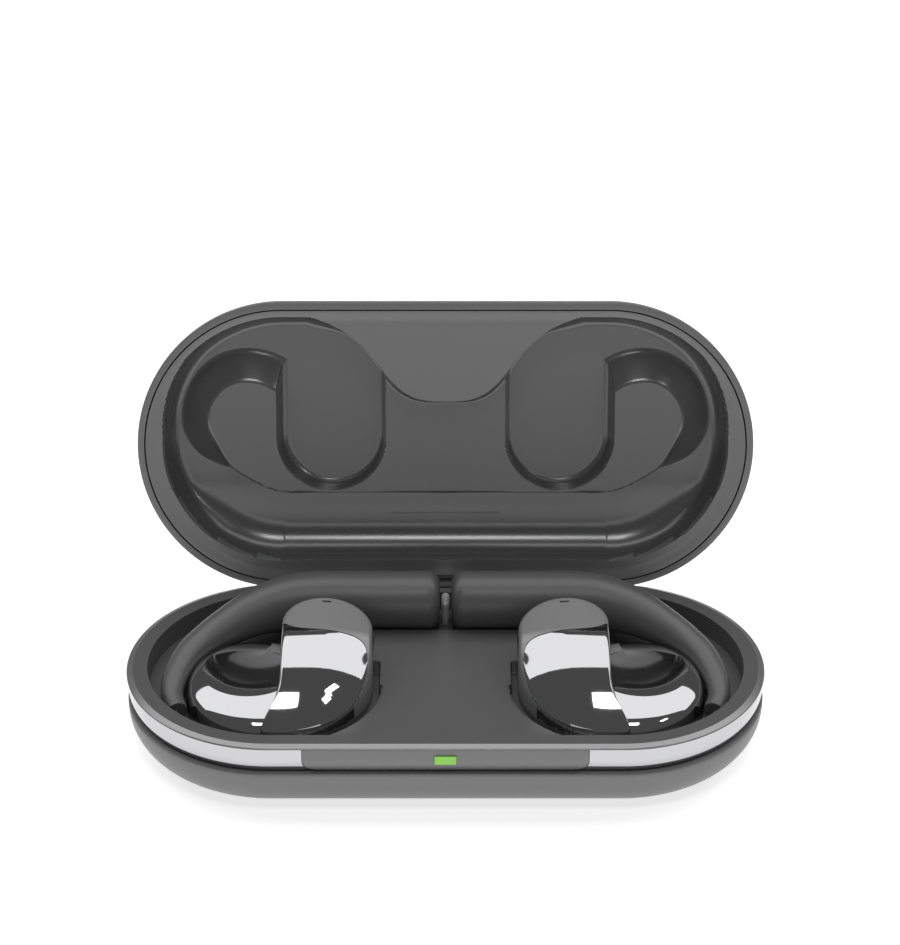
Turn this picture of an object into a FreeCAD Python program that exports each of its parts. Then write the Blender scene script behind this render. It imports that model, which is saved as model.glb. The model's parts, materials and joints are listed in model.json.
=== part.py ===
import FreeCAD, Part
import math
import os
import Sketcher

# A pair of open-ear hook earphones in their charging case, lid open.
# Z is up with the flat base of the case on z = 0, X runs along the case, the front faces -Y.
# The lid is modelled closed and its placements turn it open about the hinge pin.

os.makedirs("parts", exist_ok=True)
doc = FreeCAD.newDocument("open_ear_set")
sheet = doc.addObject("Spreadsheet::Sheet", "Sizes")
V = FreeCAD.Vector

SIZES = [
    # whole case
    ("case_length", 110.0), ("case_width", 52.0), ("lip_height", 14.0), ("lid_height", 10.5),
    ("lid_gap", 0.3), ("open_angle", 106.8), ("big_round", 8.5), ("base_round", 7.5),
    ("shell_wall", 1.4), ("lid_wall", 1.2),
    # stadium outlines: one half straight length for all, one radius for each
    ("half_straight", "=(case_length - case_width) / 2"),
    ("edge_radius", "=case_width / 2"),
    ("shell_radius", "=case_width / 2 - 0.4"),
    ("band_radius", "=case_width / 2 - 0.3"), ("band_inner", "=case_width / 2 - 1.25"),
    ("lip_inner", "=case_width / 2 - 1.2"), ("tray_radius", "=case_width / 2 - 1.3"),
    ("recess_radius", "=case_width / 2 - 3.86"),
    ("liner_radius", "=case_width / 2 - 1.3"),
    ("lid_recess_radius", "=case_width / 2 - 4.1"),
    # heights in the base
    ("seam_z", "=lip_height - 5.4"), ("band_low", "=lip_height - 5.3"),
    ("band_top", "=lip_height - 0.9"), ("lip_low", "=lip_height - 0.8"),
    ("rim_outer_z", "=lip_height - 0.1"), ("rim_inner_z", "=lip_height - 0.9"),
    ("recess_z", "=lip_height - 3.7"), ("deck_z", "=lip_height - 1.5"),
    ("tray_low", "=lip_height - 8.3"), ("under_z", "=lip_height - 4.9"),
    ("deck_under_z", "=lip_height - 2.7"), ("pocket_z", "=lip_height - 7.1"),
    ("tray_wall", 1.2),
    # deck between the two pockets
    ("deck_half", 15.0), ("deck_front", 22.2), ("deck_back", 11.3), ("rib_half", 1.6),
    ("rib_back", 22.2), ("rib_z", "=lip_height - 3.3"),
    ("bay_half", 10.4), ("bay_front", 20.9), ("bay_back", 10.0),
    # earbud outline: round lobe and upright lobe
    ("round_x", 31.0), ("round_y", 7.5), ("round_radius", 12.9),
    ("tall_x", 20.1), ("tall_radius", 7.7), ("tall_back", 8.2), ("tall_front", 19.4),
    ("bud_low", "=lip_height - 6.8"), ("round_top", "=lip_height + 1.5"),
    ("tall_top", "=lip_height + 8.2"), ("bud_split", "=lip_height - 2.6"), ("bud_wall", 0.9),
    ("pocket_gap", 0.6),
    ("tall_pocket", "=tall_radius + pocket_gap"), ("round_pocket", "=round_radius + pocket_gap"),
    ("tall_cup", "=tall_pocket + tray_wall"), ("round_cup", "=round_pocket + tray_wall"),
    ("tall_half", "=(tall_back + tall_front) / 2 - tall_radius"),
    ("tall_mid", "=(tall_front - tall_back) / 2"),
    ("driver_radius", 7.0), ("driver_height", 4.4), ("grille_radius", 5.6),
    # barrel at the tail of each earbud, and its hook
    ("barrel_radius", 5.1), ("barrel_y", 15.6), ("barrel_z", "=lip_height + 2.5"),
    ("barrel_end", 1.0), ("barrel_start", 22.0), ("barrel_wall", 0.8), ("barrel_round", 2.2),
    ("cell_radius", 3.9), ("cell_length", 17.0), ("wire_radius", 0.45),
    # hinge
    ("hinge_y", 25.5), ("hinge_z", "=lip_height - 1"), ("pin_radius", 0.6), ("pin_gap", 0.04),
    ("knuckle_radius", 1.35), ("knuckle_half", 8.1), ("ear_inner", 8.4), ("ear_outer", 12.4),
    ("hinge_room", 2.1), ("hinge_room_half", 12.7), ("plate_thick", 0.9), ("plate_back", 24.55),
    ("plate_low", "=lip_height - 4.6"), ("plate_mid", "=lip_height - 3.4"),
    ("arm_back", 24.7), ("arm_top", "=lip_height + 2.6"),
    ("screw_radius", 0.6), ("screw_head", 1.1), ("screw_x", 10.4), ("screw_z", "=lip_height - 3.3"),
    # front window and light
    ("panel_top_half", 23.5), ("panel_low_half", 20.0), ("panel_low", "=lip_height - 4.9"),
    ("panel_gap", 0.08), ("led_half", 1.8), ("led_z", "=lip_height - 2.6"),
    # electronics in the base
    ("cell_case_half", 10.0), ("cell_case_front", 16.5), ("cell_case_back", 9.4),
    ("cell_case_low", 1.9), ("cell_case_top", 10.6),
    ("board_half", 20.0), ("board_front", 10.8), ("board_back", 20.4), ("board_z", 2.5),
    ("board_thick", 0.8), ("board_top", "=board_z + board_thick"), ("usb_width", 8.94),
    ("usb_height", 3.2), ("usb_depth", 7.8), ("usb_mouth_y", 24.6), ("usb_wall", 0.3),
    ("usb_height_half", "=usb_height / 2"), ("usb_straight", "=usb_width / 2 - usb_height_half"),
    # lid
    ("lid_low", "=lip_height + lid_gap"), ("lid_top", "=lid_low + lid_height"),
    ("liner_top", "=lid_top - 1.3"),
    ("lid_floor", "=lid_low + 2"), ("liner_low", "=lid_low + 0.1"),
    ("lid_magnet_seat", "=lid_low + 0.8"),
    ("lid_pocket_radius", 8.7), ("lid_pocket_x", 20.8), ("lid_pocket_z", "=lip_height + 8.9"),
    ("deep_half", 4.4), ("deep_mid", 3.8), ("shallow_half", 6.7), ("shallow_mid", 6.2),
    ("shallow_z", "=lip_height + 7"), ("channel_radius", 6.1), ("channel_half", 25.0),
    ("channel_gap", 0.8),
    ("plateau_half", 11.0), ("plateau_back", 9.5),
    # button, spring contacts and magnets
    ("button_half", 0.75), ("button_long", 2.3), ("button_straight", "=button_long - button_half"),
    ("button_y", 18.9), ("button_top", "=lip_height + 1"), ("button_travel", 0.35),
    ("switch_z", "=board_top + usb_height + 0.4"), ("flange_low", "=under_z - 0.6"),
    ("pogo_radius", 0.45), ("pogo_x", 2.2), ("pogo_y", 1.5), ("contact_radius", 0.8),
    ("magnet_radius", 2.5), ("magnet_y", 13.5), ("magnet_slot_in", 14.0), ("magnet_slot_out", 20.2),
    ("magnet_slot_front", 24.2), ("magnet_slot_back", 22.6),
]


def fill_sheet():
    # row by row: the name in column A, the value with that name as its alias in column B
    for row, (name, content) in enumerate(SIZES, start=1):
        sheet.set("A%d" % row, name)
        sheet.set("B%d" % row, str(content))
        sheet.setAlias("B%d" % row, name)
    doc.recompute()


fill_sheet()
NAMES = {name for name, _ in SIZES}


def size(name):
    return float(sheet.get(name))


def value(text):
    # a signed sum of sheet names and plain numbers, such as "deck_half - 1.2"
    total, sign = 0.0, 1.0
    for word in text.split():
        if word in ("+", "-"):
            sign = 1.0 if word == "+" else -1.0
            continue
        if word.startswith("-"):
            word, sign = word[1:], -sign
        total += sign * (size(word) if word in NAMES else float(word))
        sign = 1.0
    return total


def formula(text):
    words = []
    for word in text.split():
        minus = "-" if word.startswith("-") and len(word) > 1 else ""
        bare = word[1:] if minus else word
        words.append(minus + ("Sizes." + bare if bare in NAMES else bare))
    return " ".join(words)


# ---------------------------------------------------------------- sketches and pads

def new_body(label):
    body = doc.addObject("PartDesign::Body", label)
    body.Label = label
    return body


def sketch_on(body, height, plane="XY_Plane"):
    sketch = body.newObject("Sketcher::SketchObject", body.Name + "_sketch")
    support = [f for f in body.Origin.OriginFeatures if f.Role == plane][0]
    sketch.AttachmentSupport = (support, [""])
    sketch.MapMode = "FlatFace"
    sketch.AttachmentOffset = FreeCAD.Placement(V(0, 0, value(height)), FreeCAD.Rotation())
    sketch.setExpression(".AttachmentOffset.Base.z", formula(height))
    return sketch


def pin_point(sketch, item, point, x, y):
    # ties one point of the sketch to the sheet, measured from the origin
    for kind, text in (("DistanceX", x), ("DistanceY", y)):
        number = sketch.addConstraint(
            Sketcher.Constraint(kind, -1, 1, item, point, value(text)))
        sketch.setExpression("Constraints[%d]" % number, formula(text))


def stadium(sketch, radius, half="half_straight", x="0", y="0", upright=False):
    r, h, cx, cy = value(radius), value(half), value(x), value(y)
    turn = math.pi / 2 if upright else 0.0
    c, s = math.cos(turn), math.sin(turn)

    def at(u, w):
        return V(cx + u * c - w * s, cy + u * s + w * c, 0)
    arcs = []
    for sign, start in ((1, -math.pi / 2), (-1, math.pi / 2)):
        circle = Part.Circle(at(sign * h, 0), V(0, 0, 1), r)
        arcs.append(sketch.addGeometry(
            Part.ArcOfCircle(circle, start + turn, start + turn + math.pi)))
    sides = [sketch.addGeometry(Part.LineSegment(at(h, r), at(-h, r))),
             sketch.addGeometry(Part.LineSegment(at(-h, -r), at(h, -r)))]
    for arc, end, line, start in ((arcs[0], 2, sides[0], 1), (arcs[1], 1, sides[0], 2),
                                  (arcs[1], 2, sides[1], 1), (arcs[0], 1, sides[1], 2)):
        sketch.addConstraint(Sketcher.Constraint("Tangent", arc, end, line, start))
    number = sketch.addConstraint(Sketcher.Constraint("Radius", arcs[0], r))
    sketch.setExpression("Constraints[%d]" % number, formula(radius))
    for arc, sign in zip(arcs, ("+", "-")):
        along, across = (y, x) if upright else (x, y)
        far = "%s %s %s" % (along, sign, half)
        pin_point(sketch, arc, 3, across if upright else far, far if upright else across)


def disc(sketch, radius, x="0", y="0"):
    item = sketch.addGeometry(Part.Circle(V(value(x), value(y), 0), V(0, 0, 1), value(radius)))
    pin_point(sketch, item, 3, x, y)
    number = sketch.addConstraint(Sketcher.Constraint("Radius", item, value(radius)))
    sketch.setExpression("Constraints[%d]" % number, formula(radius))


def polygon(sketch, corners):
    points = [V(value(x), value(y), 0) for x, y in corners]
    items = []
    for first, second in zip(points, points[1:] + points[:1]):
        items.append(sketch.addGeometry(Part.LineSegment(first, second)))
    for item, following in zip(items, items[1:] + items[:1]):
        sketch.addConstraint(Sketcher.Constraint("Coincident", item, 2, following, 1))
    for item, (x, y) in zip(items, corners):
        pin_point(sketch, item, 1, x, y)


def box_outline(sketch, x0, x1, y0, y1):
    polygon(sketch, [(x0, y0), (x1, y0), (x1, y1), (x0, y1)])


def pad(body, sketch, length):
    feature = body.newObject("PartDesign::Pad", body.Name + "_pad")
    feature.Profile = sketch
    feature.Length = value(length)
    feature.setExpression("Length", formula(length))
    doc.recompute()
    return feature


def pocket(body, sketch, length, upward=False):
    feature = body.newObject("PartDesign::Pocket", body.Name + "_pocket")
    feature.Profile = sketch
    feature.Length = value(length)
    feature.setExpression("Length", formula(length))
    feature.Reversed = upward
    doc.recompute()
    return feature


def round_edges(body, feature, radius, wanted):
    edges = ["Edge%d" % i for i, e in enumerate(feature.Shape.Edges, start=1) if wanted(e)]
    fillet = body.newObject("PartDesign::Fillet", body.Name + "_fillet")
    fillet.Base = (feature, edges)
    fillet.Radius = value(radius)
    fillet.setExpression("Radius", formula(radius))
    doc.recompute()
    return fillet


def edges_at(height):
    z = value(height)
    return lambda e: abs(e.BoundBox.ZMin - z) < 1e-4 and abs(e.BoundBox.ZMax - z) < 1e-4


def outer_edges_at(height):
    z, reach = value(height), value("half_straight") + 2
    return lambda e: (abs(e.BoundBox.ZMin - z) < 1e-4 and abs(e.BoundBox.ZMax - z) < 1e-4
                      and (e.BoundBox.XMax > reach or e.BoundBox.XMin < -reach
                           or e.BoundBox.XLength > reach))


def hollow_out(body, feature, wall, mouth):
    # an even wall inside the whole body, open at the flat face at the given height
    z = value(mouth)
    face = ["Face%d" % i for i, f in enumerate(feature.Shape.Faces, start=1)
            if abs(f.BoundBox.ZMin - z) < 1e-4 and abs(f.BoundBox.ZMax - z) < 1e-4]
    skin = body.newObject("PartDesign::Thickness", body.Name + "_skin")
    skin.Base = (feature, face)
    skin.Value = value(wall)
    skin.setExpression("Value", formula(wall))
    skin.Reversed = True
    doc.recompute()
    return skin


def hinge_cut(body):
    # the room that the knuckles turn in, cut out of a part of the base or the lid
    sketch = sketch_on(body, "-hinge_room_half", "YZ_Plane")
    disc(sketch, "hinge_room", "hinge_y", "hinge_z")
    return pocket(body, sketch, "hinge_room_half + hinge_room_half", upward=True)


# ---------------------------------------------------------------- the base of the case

def base_shell():
    body = new_body("base_shell")
    outline = sketch_on(body, "0")
    stadium(outline, "shell_radius")
    bowl = pad(body, outline, "seam_z")
    bowl = round_edges(body, bowl, "base_round", edges_at("0"))
    hollow_out(body, bowl, "shell_wall", "seam_z")
    mouth = sketch_on(body, "-usb_mouth_y - 2", "XZ_Plane")
    stadium(mouth, "1.85", "2.9", "0", "board_top + usb_height_half")
    pocket(body, mouth, "5", upward=True)
    return body


def ring(label, outer, inner, low, high):
    body = new_body(label)
    outline = sketch_on(body, low)
    stadium(outline, outer)
    pad(body, outline, "%s - %s" % (high, low))
    hole = sketch_on(body, high)
    stadium(hole, inner)
    pocket(body, hole, "%s - %s" % (high, low))
    return body


def window(sketch, gap):
    # the front window: wide at the top, narrower at its lower edge, with slanting ends
    polygon(sketch, [("-panel_top_half - " + gap, "band_top + 1"),
                     ("-panel_top_half - " + gap, "panel_low + 2.3"),
                     ("-panel_top_half + 1 - " + gap, "panel_low + 0.9 - " + gap),
                     ("-panel_low_half - " + gap, "panel_low - " + gap),
                     ("panel_low_half + " + gap, "panel_low - " + gap),
                     ("panel_top_half - 1 + " + gap, "panel_low + 0.9 - " + gap),
                     ("panel_top_half + " + gap, "panel_low + 2.3"),
                     ("panel_top_half + " + gap, "band_top + 1")])


def waist_band():
    body = ring("waist_band", "band_radius", "band_inner", "band_low", "band_top")
    sketch = sketch_on(body, "edge_radius + 4", "XZ_Plane")
    window(sketch, "panel_gap")
    pocket(body, sketch, "8")
    hinge_cut(body)
    return body


def front_panel():
    body = ring("front_panel", "band_radius", "band_inner", "band_low", "band_top")
    sketch = sketch_on(body, "edge_radius + 4", "XZ_Plane")
    window(sketch, "0")
    box_outline(sketch, "-case_length", "case_length", "-2", "lip_height + 10")
    pocket(body, sketch, "8")
    back = sketch_on(body, "lip_height")
    box_outline(back, "-case_length", "case_length", "-edge_radius + 4", "case_width")
    pocket(body, back, "lip_height")
    light = sketch_on(body, "edge_radius + 4", "XZ_Plane")
    box_outline(light, "-led_half", "led_half", "led_z - 0.8", "led_z + 0.8")
    pocket(body, light, "8")
    return body


def lip_ring():
    body = ring("lip_ring", "edge_radius", "lip_inner", "lip_low", "lip_height")
    round_edges(body, body.Tip, "0.35", outer_edges_at("lip_height"))
    hinge_cut(body)
    return body


def cut_pockets(body, extra, depth_text, top, as_pad=False):
    # the round and the upright lobe of both earbuds, as holes or as the walls around them
    for side in ("", "-"):
        for kind in ("round", "tall"):
            sketch = sketch_on(body, top)
            if kind == "round":
                disc(sketch, "round_" + extra, side + "round_x", "-round_y")
            else:
                stadium(sketch, "tall_" + extra, "tall_half", side + "tall_x",
                        "-tall_mid", upright=True)
            pad(body, sketch, depth_text) if as_pad else pocket(body, sketch, depth_text)


def box_cut(body, x0, x1, y0, y1, low, high):
    sketch = sketch_on(body, high)
    box_outline(sketch, x0, x1, y0, y1)
    return pocket(body, sketch, "%s - %s" % (high, low))


def hole_down(body, radius, x, y, low, high):
    sketch = sketch_on(body, high)
    disc(sketch, radius, x, y)
    return pocket(body, sketch, "%s - %s" % (high, low))


def sloped_rim(body):
    # the rim falls from the outer seam towards the pockets
    low = sketch_on(body, "rim_inner_z")
    stadium(low, "recess_radius")
    high = sketch_on(body, "rim_outer_z + 0.01")
    stadium(high, "tray_radius - 0.1")
    loft = body.newObject("PartDesign::SubtractiveLoft", body.Name + "_slope")
    loft.Profile = low
    loft.Sections = [high]
    loft.Ruled = True
    doc.recompute()


def tray():
    body = new_body("tray")
    outline = sketch_on(body, "under_z")
    stadium(outline, "tray_radius")
    pad(body, outline, "rim_outer_z - under_z")
    cut_pockets(body, "cup", "recess_z - tray_low", "tray_low", as_pad=True)
    recess = sketch_on(body, "rim_outer_z")
    stadium(recess, "recess_radius")
    pocket(body, recess, "rim_outer_z - recess_z")
    sloped_rim(body)
    deck = sketch_on(body, "recess_z")
    box_outline(deck, "-deck_half", "deck_half", "-deck_front", "deck_back")
    pad(body, deck, "deck_z - recess_z")
    rib = sketch_on(body, "recess_z")
    box_outline(rib, "-rib_half", "rib_half", "deck_back - 0.1", "rib_back")
    pad(body, rib, "rib_z - recess_z")
    cut_pockets(body, "pocket", "rim_outer_z - pocket_z", "rim_outer_z")
    bay = sketch_on(body, "tray_low")
    box_outline(bay, "-bay_half", "bay_half", "-bay_front", "bay_back")
    pocket(body, bay, "deck_under_z - tray_low", upward=True)
    tray_openings(body)
    hinge_cut(body)
    return body


def tray_openings(body):
    # seats for the hinge plate, the light, the button, the magnets and the spring contacts
    box_cut(body, "-ear_outer - 0.1", "ear_outer + 0.1", "plate_back - plate_thick - 0.05",
            "tray_radius + 1", "tray_low", "lip_height")
    box_cut(body, "-4.2", "4.2", "-tray_radius - 1", "-tray_radius + 1.3", "under_z", "led_z + 1.4")
    slot = sketch_on(body, "rib_z")
    stadium(slot, "button_half + 0.1", "button_straight", "0", "button_y", upright=True)
    pocket(body, slot, "rib_z - under_z")
    for side in ("", "-"):
        low, high = (("magnet_slot_in", "magnet_slot_out") if side == "" else
                     ("-magnet_slot_out", "-magnet_slot_in"))
        box_cut(body, low, high, "-magnet_slot_front", "-magnet_slot_back", "under_z",
                "under_z + 3.3")
        hole_down(body, "magnet_radius + 0.05", side + "tall_x", "-magnet_y", "tray_low",
                  "tray_low + 0.7")
        for step in ("+", "-"):
            hole_down(body, "pogo_radius + 0.08", "%stall_x %s pogo_x" % (side, step), "-pogo_y",
                      "tray_low", "pocket_z")


# ---------------------------------------------------------------- primitives

def block(label, x0, x1, y0, y1, z0, z1):
    box = doc.addObject("Part::Box", label)
    box.Label = label
    for name, low, high in (("Length", x0, x1), ("Width", y0, y1), ("Height", z0, z1)):
        box.setExpression(name, "(%s) - (%s)" % (formula(high), formula(low)))
    for name, low in (("x", x0), ("y", y0), ("z", z0)):
        box.setExpression(".Placement.Base." + name, formula(low))
    return box


TURNS = {"z": (V(0, 0, 1), 0), "x": (V(0, 1, 0), 90), "y": (V(1, 0, 0), -90)}


def rod(label, radius, length, x, y, z, axis="z"):
    # a cylinder that starts at the given point and runs along one axis
    turn, angle = TURNS[axis]
    cylinder = doc.addObject("Part::Cylinder", label)
    cylinder.Label = label
    cylinder.setExpression("Radius", formula(radius))
    cylinder.setExpression("Height", formula(length))
    cylinder.Placement = FreeCAD.Placement(V(0, 0, 0), FreeCAD.Rotation(turn, angle))
    for name, low in (("x", x), ("y", y), ("z", z)):
        cylinder.setExpression(".Placement.Base." + name, formula(low))
    return cylinder


def fuse(label, parts):
    whole = doc.addObject("Part::MultiFuse", label)
    whole.Label = label
    whole.Shapes = parts
    return whole


def cut(label, base, tools):
    tool = tools[0] if len(tools) == 1 else fuse(label + "_tools", tools)
    rest = doc.addObject("Part::Cut", label)
    rest.Base = base
    rest.Tool = tool
    base.Label = label + "_before"
    rest.Label = label
    return rest


def own_shape(label, shape):
    feature = doc.addObject("Part::Feature", label)
    feature.Label = label
    feature.Shape = shape
    return feature


# ---------------------------------------------------------------- hinge

def knuckle(label, start, length):
    return rod(label, "knuckle_radius", length, start, "hinge_y", "hinge_z", "x")


def pin_hole(label):
    return rod(label, "pin_radius + pin_gap", "30", "-15", "hinge_y", "hinge_z", "x")


def hinge_plate():
    # steel plate on the back wall of the tray, with an ear on each side of the lid's knuckle
    front = "plate_back - plate_thick"
    parts = [block("plate_web", "-ear_outer", "ear_outer", front, "plate_back", "plate_low",
                   "plate_mid")]
    for side, start, end in (("left", "-ear_outer", "-ear_inner"),
                             ("right", "ear_inner", "ear_outer")):
        parts.append(block("plate_ear_" + side, start, end, front, "plate_back", "plate_low",
                           "hinge_z"))
        parts.append(knuckle("plate_knuckle_" + side, start, "ear_outer - ear_inner"))
    holes = [pin_hole("plate_pin_hole")]
    for side in ("", "-"):
        holes.append(rod("plate_screw_hole", "screw_radius", "4", side + "screw_x", "22",
                         "screw_z", "y"))
        holes.append(rod("plate_head_seat", "screw_head", "3", side + "screw_x",
                         "plate_back - 0.45", "screw_z", "y"))
    return cut("hinge_plate", fuse("hinge_plate_whole", parts), holes)


def hinge_screws():
    parts = []
    for side in ("", "-"):
        parts.append(rod("hinge_shank", "screw_radius", "plate_back - 22.7", side + "screw_x",
                         "22.7", "screw_z", "y"))
        parts.append(rod("hinge_head", "screw_head - 0.02", "0.43", side + "screw_x",
                         "plate_back - 0.45", "screw_z", "y"))
    return fuse("hinge_screws", parts)


def hinge_arm():
    # the lid's half of the hinge: a knuckle with a plate that stands against the liner
    parts = [knuckle("arm_knuckle", "-knuckle_half", "knuckle_half + knuckle_half"),
             block("arm_plate", "-knuckle_half", "knuckle_half", "arm_back - plate_thick",
                   "arm_back", "hinge_z", "arm_top")]
    return cut("hinge_arm", fuse("hinge_arm_whole", parts), [pin_hole("arm_pin_hole")])


# ---------------------------------------------------------------- inside the base

def case_battery():
    cell = block("cell_block", "-cell_case_half", "cell_case_half", "-cell_case_front",
                 "cell_case_back", "cell_case_low", "cell_case_top")
    doc.recompute()
    cell_round = doc.addObject("Part::Fillet", "case_battery")
    cell_round.Label = "case_battery"
    cell_round.Base = cell
    cell_round.Edges = [(i, 1.2, 1.2) for i in range(1, 13)]
    return cell_round


def main_board():
    board = block("board_sheet", "-board_half", "board_half", "board_front", "board_back",
                  "board_z", "board_top")
    chip = block("board_chip", "-14", "-9", "12", "17", "board_top",
                 "board_top + 0.9")
    coil = block("board_coil", "9", "12.2", "13", "16", "board_top",
                 "board_top + 1.4")
    return fuse("main_board", [board, chip, coil])


def usb_port():
    # the socket: a flat metal tube with round sides, with its tongue
    body = new_body("usb_port")
    mouth = sketch_on(body, "-usb_mouth_y", "XZ_Plane")
    stadium(mouth, "usb_height_half", "usb_straight", "0", "board_top + usb_height_half")
    pad(body, mouth, "usb_depth")
    room = sketch_on(body, "-usb_mouth_y", "XZ_Plane")
    stadium(room, "usb_height_half - usb_wall", "usb_straight", "0",
            "board_top + usb_height_half")
    pocket(body, room, "usb_depth - 0.6", upward=True)
    tongue = sketch_on(body, "-usb_mouth_y + 0.6", "XZ_Plane")
    box_outline(tongue, "-3.3", "3.3", "board_top + usb_height_half - 0.35",
                "board_top + usb_height_half + 0.35")
    pad(body, tongue, "usb_depth - 0.8")
    return body


def led_board():
    board = block("led_sheet", "-4", "4", "-tray_radius + 0.7", "-tray_radius + 1.2",
                  "led_z - 1.6", "led_z + 1.2")
    chip = block("led_chip", "-0.8", "0.8", "-tray_radius + 0.3", "-tray_radius + 0.7",
                 "led_z - 0.4", "led_z + 0.4")
    return fuse("led_board", [board, chip])


def led_window():
    return block("led_window", "-led_half + 0.03", "led_half - 0.03", "-band_radius",
                 "-tray_radius + 0.2", "led_z - 0.77", "led_z + 0.77")


def button():
    # the button's cap, with the flange that holds it under the tray, just above its switch
    body = new_body("pairing_button")
    cap = sketch_on(body, "flange_low")
    stadium(cap, "button_half", "button_straight", "0", "button_y", upright=True)
    pad(body, cap, "button_top - flange_low")
    flange = sketch_on(body, "flange_low")
    stadium(flange, "button_half + 0.6", "button_straight", "0", "button_y", upright=True)
    pad(body, flange, "0.55")
    return body


def base_parts():
    magnets = []
    for name, low, high in (("base_magnet_left", "-magnet_slot_out + 0.1",
                             "-magnet_slot_in - 0.1"),
                            ("base_magnet_right", "magnet_slot_in + 0.1",
                             "magnet_slot_out - 0.1")):
        magnets.append(block(name, low, high, "-magnet_slot_front + 0.1",
                             "-magnet_slot_back - 0.1", "under_z + 1.2", "under_z + 3.3"))
    for side, sign in (("left", "-"), ("right", "")):
        magnets.append(rod("tray_magnet_" + side, "magnet_radius", "1.5", sign + "tall_x",
                           "-magnet_y", "tray_low - 0.85"))
        magnets.append(pogo_block(side, sign))
    switch = fuse("button_switch", [
        block("switch_sheet", "-4", "4", "button_y - 2.6", "button_y + 2.6",
              "switch_z", "switch_z + 0.5"),
        block("switch_dome", "-1.3", "1.3", "button_y - 1.3", "button_y + 1.3",
              "switch_z + 0.5", "flange_low - button_travel - 0.03")])
    pin = rod("hinge_pin", "pin_radius", "ear_outer + ear_outer", "-ear_outer", "hinge_y",
              "hinge_z", "x")
    return [base_shell(), waist_band(), front_panel(), led_window(), lip_ring(), tray(),
            hinge_plate(), hinge_screws(), pin, case_battery(), main_board(), usb_port(),
            led_board(), switch] + magnets


def pogo_block(side, sign):
    name = "contact_block_" + side
    whole = block(name + "_whole", sign + "tall_x - 4.4", sign + "tall_x + 4.4",
                  "-pogo_y - 1.4", "-pogo_y + 1.4", "tray_low - 2.4", "tray_low - 0.02")
    holes = [rod(name + "_hole", "pogo_radius + 0.05", "4", "%stall_x %s pogo_x" % (sign, step),
                 "-pogo_y", "tray_low - 2") for step in ("+", "-")]
    return cut(name, whole, holes)


def pogo_pins(side, sign):
    # both spring pins of one earbud, touching height just under its contacts
    pins = [rod("pogo_pin", "pogo_radius", "bud_low - tray_low + 1.3",
                "%stall_x %s pogo_x" % (sign, step), "-pogo_y", "tray_low - 1.4")
            for step in ("+", "-")]
    return fuse("contact_pins_" + side, pins)


# ---------------------------------------------------------------- lid, modelled closed

def lid_shell():
    body = new_body("lid_shell")
    outline = sketch_on(body, "lid_low")
    stadium(outline, "edge_radius")
    dome = pad(body, outline, "lid_height")
    dome = round_edges(body, dome, "big_round", edges_at("lid_top"))
    hollow_out(body, dome, "lid_wall", "lid_low")
    hinge_cut(body)
    return body


def liner_body():
    body = new_body("liner_block")
    outline = sketch_on(body, "liner_low")
    stadium(outline, "liner_radius")
    dome = pad(body, outline, "liner_top - liner_low")
    round_edges(body, dome, "big_round - 1.3", edges_at("liner_top"))
    recess = sketch_on(body, "liner_low")
    stadium(recess, "lid_recess_radius")
    pocket(body, recess, "lid_floor - liner_low", upward=True)
    plateau = sketch_on(body, "liner_low")
    box_outline(plateau, "-plateau_half", "plateau_half", "-lid_recess_radius - 0.4",
                "-plateau_back")
    pad(body, plateau, "lid_floor - liner_low + 0.2")
    for side in ("", "-"):
        for kind, top in (("deep", "lid_pocket_z"), ("shallow", "shallow_z")):
            room = sketch_on(body, "liner_low - 0.1")
            stadium(room, "lid_pocket_radius", kind + "_half", side + "lid_pocket_x",
                    "-%s_mid" % kind, upright=True)
            pocket(body, room, "%s - liner_low + 0.1" % top, upward=True)
    hollow = sketch_on(body, "liner_top + 1")
    box_outline(hollow, "-plateau_half + 1.5", "plateau_half - 1.5", "-19", "4")
    pocket(body, hollow, "liner_top - lid_floor - 0.2")
    for low, high in (("-magnet_slot_out", "-magnet_slot_in"),
                      ("magnet_slot_in", "magnet_slot_out")):
        box_cut(body, low, high, "-magnet_slot_front", "-magnet_slot_back",
                "lid_magnet_seat", "liner_top + 1")
    slot = sketch_on(body, "lid_low - 1")
    box_outline(slot, "-knuckle_half - 0.1", "knuckle_half + 0.1",
                "arm_back - plate_thick - 0.05", "liner_radius + 1")
    pocket(body, slot, "arm_top - lid_low + 1.1", upward=True)
    hinge_cut(body)
    return body


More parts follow.
